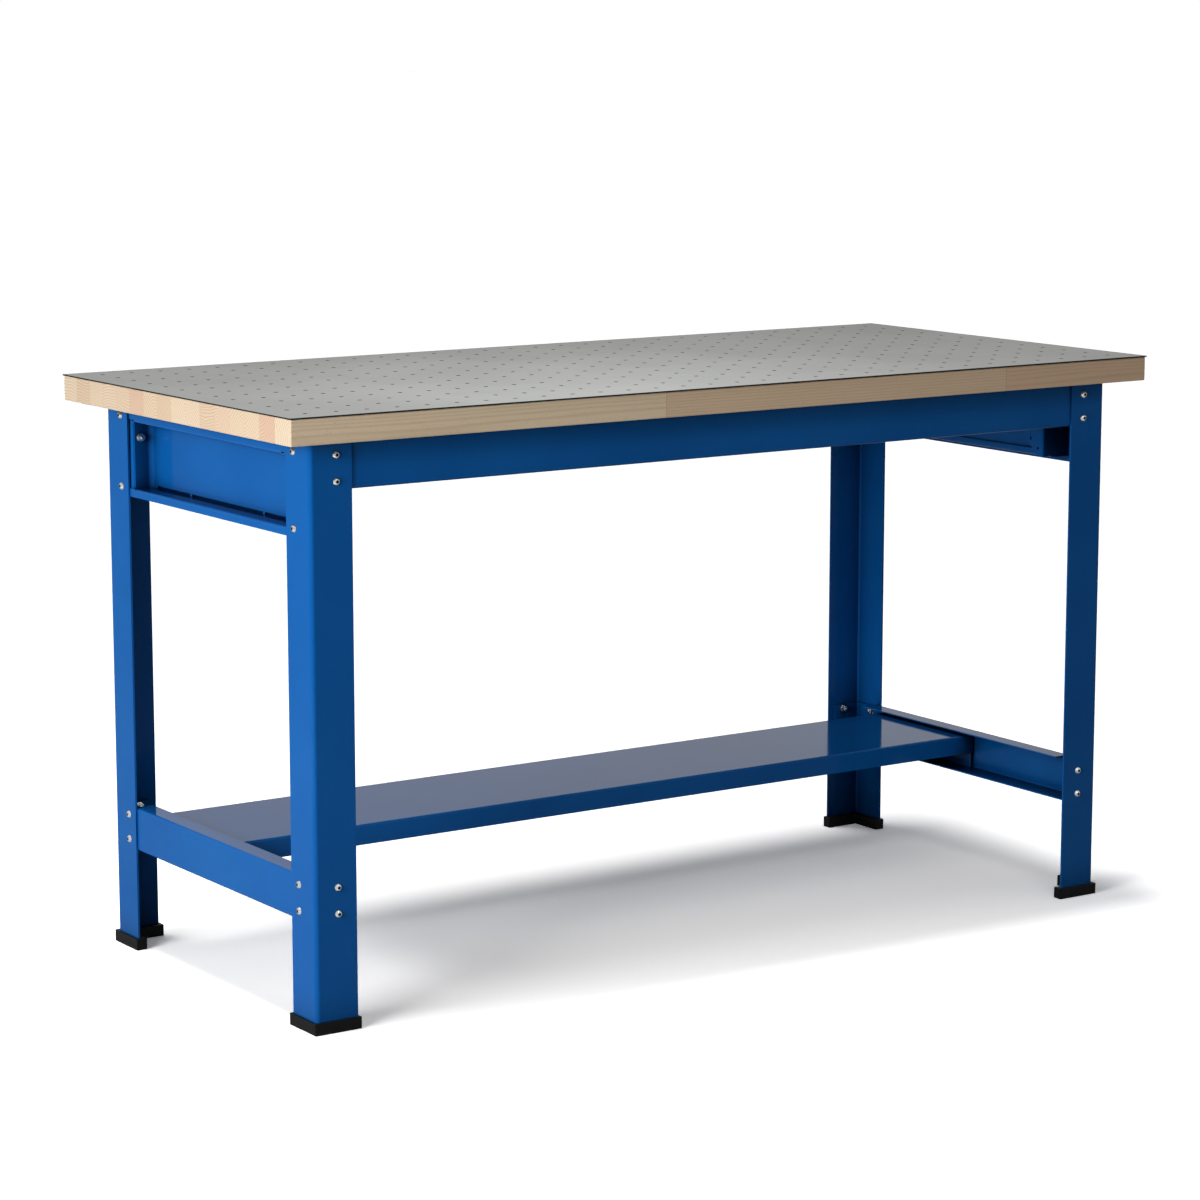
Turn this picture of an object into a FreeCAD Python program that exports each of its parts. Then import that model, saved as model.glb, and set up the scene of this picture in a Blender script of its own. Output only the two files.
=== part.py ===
import FreeCAD, Part
import math
import os

# Workbench with a beech top under a perforated steel cover sheet, on a bolted frame of folded sheet steel.
# Millimetres. X runs along the length, Y from front to back, Z up.
# The origin is on the floor under the middle of the bench.

Vector = FreeCAD.Vector

# Overall sizes of the bench
top_length = 1500.0
top_depth = 680.0
bench_height = 850.0

# Worktop: beech board under a thin cover sheet
board_thickness = 36.0
board_edge_round = 1.5
cover_thickness = 2.0
cover_overhang = 1.5
cover_hole_diameter = 6.0
cover_hole_pitch_along = 47.0
cover_hole_pitch_across = 50.0
cover_hole_margin_along = 40.0
cover_hole_margin_across = 35.0

# Legs: angle profiles, set in from the edges of the top
end_overhang = 50.0
front_overhang = 40.0
leg_flange = 65.0
leg_thickness = 3.0
leg_bend_radius = 3.0

# Feet: black boots pushed on to the legs
foot_height = 17.0
foot_floor = 4.0
foot_wall = 4.0
foot_limb = 17.0
foot_corner_round = 1.5
foot_clearance = 0.2

# Front and rear rails: channels that open to the inside
rail_height = 68.0
rail_flange = 35.0
rail_thickness = 2.0
rail_bend_radius = 2.0
rail_end_gap = 10.0

# Upper end rails: a strip on top, a recessed pan, and a ledge with a lip outside and a hem inside
end_sheet = 2.0
end_bend_radius = 2.0
end_rail_height = 134.0
end_strip_height = 25.0
end_lip_height = 12.0
pan_recess = 33.0
pan_end_gap = 6.0
pan_end_radius = 8.0
pan_return = 28.0
hem_gap = 4.0
hem_height = 8.0
ear_height = 25.0
ear_end_gap = 10.0
ear_leg_gap = 2.0
slot_height = 3.5
slot_end_gap = 16.0
slot_tab_width = 5.0
slot_tab_spacing = 216.0

# Corner brackets between the upper end rails and the legs
bracket_drop = 6.0
bracket_offset = 22.0
bracket_plate_top = 119.0
bracket_plate_foot = 9.0
bracket_hole_diameter = 5.0
bracket_hole_rise = 8.0
bracket_hole_spacing = 22.0
bracket_hole_edge = 9.5

# Lower end rails: channels with a tab folded in at each end
lower_rail_top = 214.0
lower_rail_height = 64.0
lower_rail_sheet = 2.0
lower_rail_bend_radius = 2.0
lower_top_flange = 30.0
lower_foot_flange = 40.0
lower_tab_width = 50.0
lower_flange_gap = 52.0
lower_foot_gap = 8.0

# Shelf: a tray whose ends stand in the lower end rails
shelf_top = 207.0
shelf_depth = 227.0
shelf_rear_gap = 88.0
shelf_sheet = 1.5
shelf_bend_radius = 2.0
shelf_lip = 30.0
shelf_end_gap = 4.0

# Bolted joints: button heads outside, washers and nuts inside
bolt_diameter = 6.0
bolt_head_diameter = 11.5
bolt_head_flat = 5.5
bolt_head_height = 3.3
bolt_socket = 4.0
bolt_socket_depth = 2.0
bolt_stub = 2.0
bolt_hole_clearance = 0.3
nut_across = 10.0
nut_height = 5.0
nut_clearance = 0.15
washer_diameter = 13.0
washer_thickness = 1.6
washer_clearance = 0.2

# Places of the bolts, from the outer faces of the legs and the edges of the rails
rail_bolt_inset = 41.0
rail_bolt_drop = 20.0
rail_bolt_pitch = 36.0
end_bolt_inset = 44.0
strip_bolt_drop = 17.0
ear_bolt_rise = 13.0
lower_tab_bolt_inset = 36.0
lower_end_bolt_inset = 44.0
lower_bolt_drop = 12.0
lower_bolt_pitch = 37.0
bracket_bolt_drop = 23.0
bracket_bolt_inset = 19.0

# Screws that hold the board down on the front and rear rails
screw_diameter = 5.0
screw_length = 24.0
screw_tip = 6.0
screw_tip_diameter = 1.0
screw_head_diameter = 10.0
screw_head_flat = 4.0
screw_head_height = 3.0
screw_clearance = 0.2
screw_end_inset = 150.0
screw_flange_inset = 19.0
screws_per_rail = 4

# How far a cutting shape runs past the face that it cuts
overrun = 1.0

# Places worked out from the sizes above
under_top = bench_height - cover_thickness - board_thickness
left_face = end_overhang - top_length / 2
front_face = front_overhang - top_depth / 2
strip_face = left_face + leg_thickness
end_outer_radius = end_bend_radius + end_sheet
end_rail_bottom = under_top - end_rail_height
pan_top = under_top - end_strip_height
pan_foot = end_rail_bottom + end_lip_height
pan_face = strip_face + pan_recess
pan_inside = pan_face + end_sheet
pan_end = front_face + leg_flange + pan_end_gap
plate_face = pan_inside + bracket_offset
ear_end = front_face + ear_end_gap
tab_face = strip_face + end_sheet
bracket_bottom = pan_foot
bracket_top = under_top - bracket_drop
lower_rail_bottom = lower_rail_top - lower_rail_height
lower_outer_radius = lower_rail_bend_radius + lower_rail_sheet
lower_web_inside = strip_face + lower_rail_sheet
rail_face = front_face + leg_thickness

UP = Vector(0, 0, 1)
BACK = Vector(0, 1, 0)
RIGHT = Vector(1, 0, 0)

# Each view gives the directions of a drawing's two axes and the direction that it is drawn out in
VIEWS = {
    "plan": (RIGHT, BACK, UP),
    "from_front": (RIGHT, UP, BACK),
    "from_side": (BACK, UP, RIGHT),
}


def block(x_range, y_range, z_range):
    """Box between the low and high value of each axis."""
    low = Vector(x_range[0], y_range[0], z_range[0])
    high = Vector(x_range[1], y_range[1], z_range[1])
    size = high - low
    return Part.makeBox(size.x, size.y, size.z, low)


def rod(start, direction, diameter, length):
    """Round bar from a start point along a direction."""
    return Part.makeCylinder(diameter / 2, length, start, direction)


def prism(view, outline, start, end):
    """Solid with a straight-edged outline in a view, from start to end along that view's depth."""
    across, rise, depth = VIEWS[view]
    corners = [across * u + rise * v + depth * start for u, v in outline]
    face = Part.Face(Part.makePolygon(corners + corners[:1]))
    return face.extrude(depth * (end - start))


def rounded_line(points, radii):
    """Edges along the points, with each inner corner rounded by its own radius."""
    edges = []
    start = points[0]
    for before, corner, after, radius in zip(points, points[1:], points[2:], radii):
        into = (corner - before).normalize()
        out = (after - corner).normalize()
        half_turn = into.getAngle(out) / 2
        reach = radius * math.tan(half_turn)
        inward = (out - into).normalize()
        arc_start = corner - into * reach
        arc_end = corner + out * reach
        arc_middle = corner + inward * (radius / math.cos(half_turn) - radius)
        edges.append(Part.LineSegment(start, arc_start).toShape())
        edges.append(Part.Arc(arc_start, arc_middle, arc_end).toShape())
        start = arc_end
    edges.append(Part.LineSegment(start, points[-1]).toShape())
    return edges


def bent_sheet(view, path, start, end, thickness, inner_radius):
    """Folded sheet on the left of a path of faces in a view, from start to end along that view's depth."""
    across, rise, depth = VIEWS[view]
    flat = [Vector(u, v, 0) for u, v in path]
    lines = [(b - a).normalize() for a, b in zip(flat, flat[1:])]
    sides = [Vector(-line.y, line.x, 0) for line in lines]
    near_radii = []
    far_radii = []
    far = [flat[0] + sides[0] * thickness]
    for corner, before, after, into, out in zip(flat[1:], sides, sides[1:], lines, lines[1:]):
        far.append(corner + (before + after) * (thickness / (1 + before.dot(after))))
        turns_left = into.cross(out).z > 0
        near_radii.append(inner_radius + thickness if turns_left else inner_radius)
        far_radii.append(inner_radius if turns_left else inner_radius + thickness)
    far.append(flat[-1] + sides[-1] * thickness)

    def placed(points):
        return [across * p.x + rise * p.y + depth * start for p in points]

    near_points = placed(flat)
    far_points = placed(far)[::-1]
    edges = rounded_line(near_points, near_radii)
    edges.append(Part.LineSegment(near_points[-1], far_points[0]).toShape())
    edges += rounded_line(far_points, far_radii[::-1])
    edges.append(Part.LineSegment(far_points[-1], near_points[0]).toShape())
    return Part.Face(Part.Wire(edges)).extrude(depth * (end - start))


def joined(pieces):
    """One solid from pieces that touch."""
    return pieces[0].fuse(pieces[1:]).removeSplitter().Solids[0]


def mirrored(shape, flip_x, flip_y):
    """Copy of a front left shape in another corner of the bench."""
    result = shape.copy()
    if flip_x:
        result = result.mirror(Vector(0, 0, 0), RIGHT)
    if flip_y:
        result = result.mirror(Vector(0, 0, 0), BACK)
    return result


CORNERS = {
    "front_left": (False, False),
    "front_right": (True, False),
    "rear_left": (False, True),
    "rear_right": (True, True),
}


def in_all_corners(shapes):
    """Group of the front left shapes and their copies in the other three corners."""
    return Part.makeCompound([mirrored(shape, *flips) for flips in CORNERS.values() for shape in shapes])


def dome(base_diameter, flat_diameter, height):
    """Low round head that stands on the origin and rises along Z to a flat top."""
    base_radius = base_diameter / 2
    flat_radius = flat_diameter / 2
    sink = (base_radius ** 2 - flat_radius ** 2 - height ** 2) / (2 * height)
    centre = Vector(0, 0, -sink)
    rim = Vector(base_radius, 0, 0)
    top_rim = Vector(flat_radius, 0, height)
    middle_direction = ((rim - centre) + (top_rim - centre)).normalize()
    middle = centre + middle_direction * (rim - centre).Length
    edges = [
        Part.LineSegment(Vector(0, 0, 0), rim).toShape(),
        Part.Arc(rim, middle, top_rim).toShape(),
        Part.LineSegment(top_rim, Vector(0, 0, height)).toShape(),
        Part.LineSegment(Vector(0, 0, height), Vector(0, 0, 0)).toShape(),
    ]
    return Part.Face(Part.Wire(edges)).revolve(Vector(0, 0, 0), UP, 360)


def hexagon(across, start, end):
    """Six-sided bar round the Z axis, measured across its flats."""
    corner_radius = across / 2 / math.cos(math.pi / 6)
    turns = [math.pi / 3 * side for side in range(6)]
    outline = [(corner_radius * math.cos(turn), corner_radius * math.sin(turn)) for turn in turns]
    return prism("plan", outline, start, end)


def stood(shape, place, outward):
    """Shape that was drawn on the origin along Z, moved to a place and turned to face outward."""
    result = shape.copy()
    result.Placement = FreeCAD.Placement(place, FreeCAD.Rotation(UP, outward))
    return result


class Joint:
    """One bolt with its washer and nut, from the face under the head through a grip of sheets."""

    def __init__(self, place, inward, grip):
        self.place = place
        self.inward = inward
        self.outward = inward * -1
        self.grip = grip

    def hole(self):
        """Drilled way for the bolt through the grip."""
        start = self.place + self.outward * overrun
        diameter = bolt_diameter + 2 * bolt_hole_clearance
        return rod(start, self.inward, diameter, self.grip + 2 * overrun)

    def bolt(self):
        """Button head bolt with a hexagon socket."""
        head = dome(bolt_head_diameter, bolt_head_flat, bolt_head_height)
        length = self.grip + washer_thickness + nut_height + bolt_stub
        shank = rod(Vector(0, 0, 0), UP * -1, bolt_diameter, length)
        socket = hexagon(bolt_socket, bolt_head_height - bolt_socket_depth, bolt_head_height + overrun)
        return stood(joined([head, shank]).cut(socket), self.place, self.outward)

    def washer(self):
        """Flat ring under the nut."""
        ring = rod(Vector(0, 0, 0), UP, washer_diameter, washer_thickness)
        bore = rod(UP * -overrun, UP, bolt_diameter + 2 * washer_clearance, washer_thickness + 2 * overrun)
        return stood(ring.cut(bore), self.place + self.inward * self.grip, self.inward)

    def nut(self):
        """Hexagon nut on the washer."""
        body = hexagon(nut_across, 0, nut_height)
        bore = rod(UP * -overrun, UP, bolt_diameter + 2 * nut_clearance, nut_height + 2 * overrun)
        seat = self.place + self.inward * (self.grip + washer_thickness)
        return stood(body.cut(bore), seat, self.inward)


def joints_of_front_left_corner():
    """Bolted joints of one corner, by family."""
    rail_heights = [under_top - rail_bolt_drop, under_top - rail_bolt_drop - rail_bolt_pitch]
    lower_heights = [lower_rail_top - lower_bolt_drop, lower_rail_top - lower_bolt_drop - lower_bolt_pitch]
    end_heights = [under_top - strip_bolt_drop, end_rail_bottom + ear_bolt_rise]
    rail_x = left_face + rail_bolt_inset
    tab_x = left_face + lower_tab_bolt_inset
    end_y = front_face + end_bolt_inset
    lower_end_y = front_face + lower_end_bolt_inset
    bracket_place = Vector(pan_face - bracket_bolt_inset, pan_end - end_sheet, pan_top - bracket_bolt_drop)
    rail_grip = leg_thickness + rail_thickness
    end_grip = leg_thickness + 2 * end_sheet
    lower_grip = leg_thickness + lower_rail_sheet
    return {
        "rail": [Joint(Vector(rail_x, front_face, z), BACK, rail_grip) for z in rail_heights],
        "upper_end": [Joint(Vector(left_face, end_y, z), RIGHT, end_grip) for z in end_heights],
        "lower_tab": [Joint(Vector(tab_x, front_face, z), BACK, lower_grip) for z in lower_heights],
        "lower_end": [Joint(Vector(left_face, lower_end_y, z), RIGHT, lower_grip) for z in lower_heights],
        "bracket": [Joint(bracket_place, BACK, 2 * end_sheet)],
    }


def cover_sheet():
    """Steel sheet over the board, with a regular field of round holes."""
    columns = int((top_length - 2 * cover_hole_margin_along) // cover_hole_pitch_along) + 1
    rows = int((top_depth - 2 * cover_hole_margin_across) // cover_hole_pitch_across) + 1
    bottom = under_top + board_thickness
    first_x = -cover_hole_pitch_along * (columns - 1) / 2
    first_y = -cover_hole_pitch_across * (rows - 1) / 2
    outline = [(-top_length / 2, -top_depth / 2), (top_length / 2, -top_depth / 2)]
    outline += [(-x, -y) for x, y in outline]
    rim = [Vector(x, y, bottom) for x, y in outline]
    wires = [Part.makePolygon(rim + rim[:1])]
    for column in range(columns):
        for row in range(rows):
            x = first_x + column * cover_hole_pitch_along
            y = first_y + row * cover_hole_pitch_across
            circle = Part.makeCircle(cover_hole_diameter / 2, Vector(x, y, bottom), UP)
            wires.append(Part.Wire([circle]))
    return Part.Face(wires, "Part::FaceMakerBullseye").extrude(UP * cover_thickness)


def screw_places():
    """Points on the underside of the rails' top flanges where the board's screws pass."""
    first = left_face + rail_end_gap + screw_end_inset
    step = -2 * first / (screws_per_rail - 1)
    y = rail_face + screw_flange_inset
    z = under_top - rail_thickness
    return [Vector(first + step * i, side * y, z) for side in (1, -1) for i in range(screws_per_rail)]


def board_screw():
    """Pan head wood screw, drawn with its head under the origin."""
    head = stood(dome(screw_head_diameter, screw_head_flat, screw_head_height), Vector(0, 0, 0), UP * -1)
    straight = screw_length - screw_tip
    shank = rod(Vector(0, 0, 0), UP, screw_diameter, straight)
    tip = Part.makeCone(screw_diameter / 2, screw_tip_diameter / 2, screw_tip, UP * straight)
    return joined([head, shank, tip])


def screw_hole(place):
    """Pilot way for one board screw, from under the flange to past its tip."""
    diameter = screw_diameter + 2 * screw_clearance
    return rod(place - UP * overrun, UP, diameter, screw_length + 2 * overrun)


def worktop_board():
    """Glued beech board with softened edges and pilot holes in its underside."""
    x = top_length / 2 - cover_overhang
    y = top_depth / 2 - cover_overhang
    board = block((-x, x), (-y, y), (under_top, under_top + board_thickness))
    board = board.makeFillet(board_edge_round, board.Edges)
    return board.cut([screw_hole(place) for place in screw_places()]).Solids[0]


def leg(joints):
    """Front left leg, an angle with a round fold at the outer corner."""
    path = [
        (left_face, front_face + leg_flange),
        (left_face, front_face),
        (left_face + leg_flange, front_face),
    ]
    angle = bent_sheet("plan", path, foot_floor, under_top, leg_thickness, leg_bend_radius)
    on_leg = joints["rail"] + joints["upper_end"] + joints["lower_tab"] + joints["lower_end"]
    return angle.cut([joint.hole() for joint in on_leg]).Solids[0]


def angle_outline(low_x, low_y, length, limb):
    """Corner points of an L whose outer corner is at the low x and y."""
    return [
        (low_x, low_y),
        (low_x + length, low_y),
        (low_x + length, low_y + limb),
        (low_x + limb, low_y + limb),
        (low_x + limb, low_y + length),
        (low_x, low_y + length),
    ]


def foot():
    """Front left boot, an L with a slot that the leg stands in."""
    length = leg_flange + 2 * foot_wall
    outline = angle_outline(left_face - foot_wall, front_face - foot_wall, length, foot_limb)
    body = prism("plan", outline, 0, foot_height)
    uprights = [edge for edge in body.Edges if abs(edge.tangentAt(edge.FirstParameter).z) == 1]
    body = body.makeFillet(foot_corner_round, uprights)
    slot_far = leg_flange + foot_clearance
    slot_path = [
        (left_face - foot_clearance, front_face + slot_far),
        (left_face - foot_clearance, front_face - foot_clearance),
        (left_face + slot_far, front_face - foot_clearance),
    ]
    socket_width = leg_thickness + 2 * foot_clearance
    socket_radius = leg_bend_radius - foot_clearance
    slot = bent_sheet("plan", slot_path, foot_floor, foot_height + overrun, socket_width, socket_radius)
    return body.cut(slot).Solids[0]


def front_rail(joints):
    """Channel behind the front flanges of the front legs."""
    path = [
        (rail_face + rail_flange, under_top),
        (rail_face, under_top),
        (rail_face, under_top - rail_height),
        (rail_face + rail_flange, under_top - rail_height),
    ]
    start = left_face + rail_end_gap
    channel = bent_sheet("from_side", path, start, -start, rail_thickness, rail_bend_radius)
    holes = [joint.hole() for joint in joints["rail"]]
    holes += [mirrored(hole, True, False) for hole in holes]
    holes += [screw_hole(place) for place in screw_places() if place.y < 0]
    return channel.cut(holes).Solids[0]


def slot_cuts():
    """Long slots at the foot of an end rail's pan, just above its ledge, with tabs between them."""
    x_range = (pan_face - end_outer_radius, pan_inside + overrun)
    z_range = (pan_foot, pan_foot + slot_height)
    outer = -pan_end - slot_end_gap
    tab = slot_tab_spacing / 2
    half_tab = slot_tab_width / 2
    ranges = [(-outer, -tab - half_tab), (half_tab - tab, tab - half_tab), (tab + half_tab, outer)]
    return [block(x_range, y_range, z_range) for y_range in ranges]


def left_upper_end_rail(joints):
    """Folded sheet between the left legs: strip, slotted pan with returned ends, hemmed ledge and lip."""
    section = [
        (strip_face, under_top),
        (strip_face, pan_top),
        (pan_face, pan_top),
        (pan_face, pan_foot),
        (strip_face, pan_foot),
        (strip_face, end_rail_bottom),
    ]
    fold_end = pan_end + pan_end_radius + end_sheet
    pieces = [bent_sheet("from_front", section, fold_end, -fold_end, end_sheet, end_bend_radius)]
    hem_face = pan_inside + hem_gap
    hem = [
        (hem_face, pan_foot + hem_height),
        (hem_face, pan_foot),
        (pan_face - end_outer_radius, pan_foot),
    ]
    pieces.append(bent_sheet("from_front", hem, pan_end, -pan_end, end_sheet, end_bend_radius))
    web = [
        (pan_face - pan_return, pan_end),
        (pan_inside, pan_end),
        (pan_inside, -pan_end),
        (pan_face - pan_return, -pan_end),
    ]
    web_range = (pan_foot + end_outer_radius, pan_top - end_outer_radius)
    pieces.append(bent_sheet("plan", web, *web_range, end_sheet, pan_end_radius))
    corner = [
        (pan_face - pan_return, pan_end),
        (pan_inside, pan_end),
        (pan_inside, fold_end + end_sheet),
    ]
    corner_range = (pan_foot - end_sheet, pan_top + end_sheet)
    sheet_range = (strip_face, strip_face + end_sheet)
    free_edge = front_face + leg_flange
    for flip in (False, True):
        strip = block(sheet_range, (ear_end, fold_end), (pan_top + end_outer_radius, under_top))
        lip = block(sheet_range, (ear_end, fold_end), (end_rail_bottom, pan_foot))
        floor_range = (pan_foot - end_sheet, pan_foot)
        floor = block((strip_face, pan_inside), (pan_end - end_sheet, fold_end), floor_range)
        ceiling_range = (pan_top, pan_top + end_sheet)
        ceiling = block((strip_face, pan_inside), (pan_end, fold_end), ceiling_range)
        bend = bent_sheet("plan", corner, *corner_range, end_sheet, pan_end_radius)
        ear_range = (end_rail_bottom, end_rail_bottom + ear_height)
        ear = block(sheet_range, (ear_end, free_edge - ear_leg_gap), ear_range)
        added = (strip, lip, floor, ceiling, bend, ear)
        pieces += [mirrored(piece, False, flip) for piece in added]
    holes = [joint.hole() for joint in joints["upper_end"] + joints["bracket"]]
    holes += [mirrored(hole, False, True) for hole in holes]
    return joined(pieces).cut(holes + slot_cuts()).Solids[0]


def corner_bracket(joints):
    """Front left bracket: tab behind the leg, wall at the pan's end, and plate with a slanted edge."""
    plan = [
        (plate_face, pan_end + bracket_plate_top),
        (plate_face, pan_end),
        (tab_face, pan_end),
        (tab_face, ear_end),
    ]
    body = bent_sheet("plan", plan, bracket_bottom, bracket_top, end_sheet, end_bend_radius)
    plate_end = pan_end + bracket_plate_top + overrun
    past_plate = (plate_face - overrun, plate_face + end_sheet + overrun)
    plate_range = (pan_end + end_outer_radius, plate_end)
    above_plate = block(past_plate, plate_range, (pan_top, bracket_top + overrun))
    slant_foot = pan_end + bracket_plate_foot
    slant_top = pan_end + bracket_plate_top
    below = bracket_bottom - overrun
    slant = [
        (slant_foot, bracket_bottom),
        (slant_top, pan_top),
        (plate_end, pan_top),
        (plate_end, below),
        (slant_foot, below),
    ]
    cuts = [above_plate, prism("from_side", slant, *past_plate)]
    cuts += plate_holes(slant_foot, slant_top)
    cuts += [joint.hole() for joint in joints["upper_end"] + joints["bracket"]]
    return body.cut(cuts).Solids[0]


def plate_holes(slant_foot, slant_top):
    """Two spare holes in the bracket's plate, in a row beside its slanted edge."""
    foot_point = Vector(plate_face - overrun, slant_foot, bracket_bottom)
    top_point = Vector(plate_face - overrun, slant_top, pan_top)
    along = (top_point - foot_point).normalize()
    beside = RIGHT.cross(along)
    first = foot_point + along * bracket_hole_rise + beside * bracket_hole_edge
    places = [first, first + along * bracket_hole_spacing]
    return [rod(place, RIGHT, bracket_hole_diameter, end_sheet + 2 * overrun) for place in places]


def left_lower_end_rail(joints):
    """Channel between the left legs, open to the inside, with a tab at each end and a longer foot flange."""
    section = [
        (strip_face + lower_top_flange, lower_rail_top),
        (strip_face, lower_rail_top),
        (strip_face, lower_rail_bottom),
        (strip_face + lower_foot_flange, lower_rail_bottom),
    ]
    flange_end = rail_face + lower_flange_gap
    sheet = (lower_rail_sheet, lower_rail_bend_radius)
    channel = bent_sheet("from_front", section, flange_end, -flange_end, *sheet)
    foot_section = [
        (strip_face, lower_rail_bottom + 2 * lower_outer_radius),
        (strip_face, lower_rail_bottom),
        (strip_face + lower_foot_flange, lower_rail_bottom),
    ]
    foot_end = rail_face + lower_foot_gap
    foot_flange = bent_sheet("from_front", foot_section, foot_end, -foot_end, *sheet)
    plan = [
        (strip_face + lower_tab_width, -rail_face),
        (strip_face, -rail_face),
        (strip_face, rail_face),
        (strip_face + lower_tab_width, rail_face),
    ]
    web_range = (lower_rail_bottom + lower_outer_radius, lower_rail_top - lower_outer_radius)
    web = bent_sheet("plan", plan, *web_range, *sheet)
    holes = [joint.hole() for joint in joints["lower_tab"] + joints["lower_end"]]
    holes += [mirrored(hole, False, True) for hole in holes]
    return joined([channel, foot_flange, web]).cut(holes).Solids[0]


def shelf():
    """Tray with a lip in front and behind, standing on the lower rails by its two end walls."""
    rear = -front_face - shelf_rear_gap
    front = rear - shelf_depth
    section = [
        (rear, shelf_top - shelf_lip),
        (rear, shelf_top),
        (front, shelf_top),
        (front, shelf_top - shelf_lip),
    ]
    end = lower_web_inside + shelf_end_gap
    tray = bent_sheet("from_side", section, end, -end, shelf_sheet, shelf_bend_radius)
    inset = shelf_sheet + shelf_bend_radius
    wall_y = (front + inset, rear - inset)
    wall_z = (lower_rail_bottom + lower_rail_sheet, shelf_top - shelf_sheet)
    wall = block((end, end + shelf_sheet), wall_y, wall_z)
    return joined([tray, wall, mirrored(wall, True, False)])


def all_nodes():
    """Every piece of the bench, by name."""
    joints = joints_of_front_left_corner()
    left_upper = left_upper_end_rail(joints)
    left_lower = left_lower_end_rail(joints)
    rail = front_rail(joints)
    nodes = {
        "worktop_board": worktop_board(),
        "cover_sheet": cover_sheet(),
        "front_rail": rail,
        "rear_rail": mirrored(rail, False, True),
        "left_upper_end_rail": left_upper,
        "right_upper_end_rail": mirrored(left_upper, True, False),
        "left_lower_end_rail": left_lower,
        "right_lower_end_rail": mirrored(left_lower, True, False),
        "shelf": shelf(),
        "board_screws": Part.makeCompound([stood(board_screw(), place, UP) for place in screw_places()]),
    }
    corner_pieces = {"leg": leg(joints), "foot": foot(), "corner_bracket": corner_bracket(joints)}
    for corner, flips in CORNERS.items():
        for name, piece in corner_pieces.items():
            nodes[f"{corner}_{name}"] = mirrored(piece, *flips)
    for family, members in joints.items():
        nodes[f"{family}_bolts"] = in_all_corners([joint.bolt() for joint in members])
        nodes[f"{family}_washers"] = in_all_corners([joint.washer() for joint in members])
        nodes[f"{family}_nuts"] = in_all_corners([joint.nut() for joint in members])
    return nodes


os.makedirs("parts", exist_ok=True)
for node, shape in all_nodes().items():
    shape.exportStep(os.path.join("parts", f"{node}.step"))
    print(f"{node}: {len(shape.Solids)} solids, valid {shape.isValid()}")
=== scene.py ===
"""Looks of a workbench: beech top under a perforated cover sheet, on a bolted frame of blue sheet steel.

Everything is in metres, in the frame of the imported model: X along the length, Y from front to back, Z up.
"""

import logging
import math
from dataclasses import dataclass, field
from enum import Enum
from itertools import product
from typing import Any, Mapping, Sequence

import bmesh
import bpy
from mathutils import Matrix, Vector


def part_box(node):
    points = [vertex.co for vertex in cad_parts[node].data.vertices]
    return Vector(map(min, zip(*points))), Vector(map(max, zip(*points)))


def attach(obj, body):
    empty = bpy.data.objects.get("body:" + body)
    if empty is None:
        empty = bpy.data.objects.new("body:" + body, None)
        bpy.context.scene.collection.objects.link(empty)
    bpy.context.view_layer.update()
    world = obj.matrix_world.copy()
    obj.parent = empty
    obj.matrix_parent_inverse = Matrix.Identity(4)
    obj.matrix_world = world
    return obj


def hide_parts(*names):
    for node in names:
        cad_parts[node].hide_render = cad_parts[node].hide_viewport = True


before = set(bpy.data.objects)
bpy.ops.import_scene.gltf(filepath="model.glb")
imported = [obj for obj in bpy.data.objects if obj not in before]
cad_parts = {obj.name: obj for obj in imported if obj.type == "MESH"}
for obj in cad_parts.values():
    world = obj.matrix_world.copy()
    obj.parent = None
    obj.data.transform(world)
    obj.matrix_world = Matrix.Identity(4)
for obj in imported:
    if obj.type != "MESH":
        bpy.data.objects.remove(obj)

LOG = logging.getLogger("workbench")
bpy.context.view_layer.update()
BODY = "root"
MM = 0.001
# Name of the mesh attribute that carries painted shade on fasteners: dark sockets and a contact shadow under
# heads.
PAINTED_SHADE = "grime"
WAY = "way"
CORNERS = [f"{y}_{x}" for y in ("front", "rear") for x in ("left", "right")]

Mesh = bpy.types.Mesh
Node = bpy.types.Node
Piece = bpy.types.Object
Socket = bpy.types.NodeSocket
Colour = tuple[float, float, float]
Point = tuple[float, float, float]
Pair = tuple[float, float]
Ring = Sequence[Pair]
Seats = list[tuple[Vector, Vector]]


class Slot(Enum):
    """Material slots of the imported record."""

    PAINT = "blue_paint"
    WOOD = "beech"
    COVER = "cover_steel"
    BOOT = "black_plastic"
    ZINC = "zinc_steel"


class Facing(Enum):
    """Axis along which a fastener's head looks: out of the bench's ends or out of its long sides."""

    END = 0
    SIDE = 1


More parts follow.
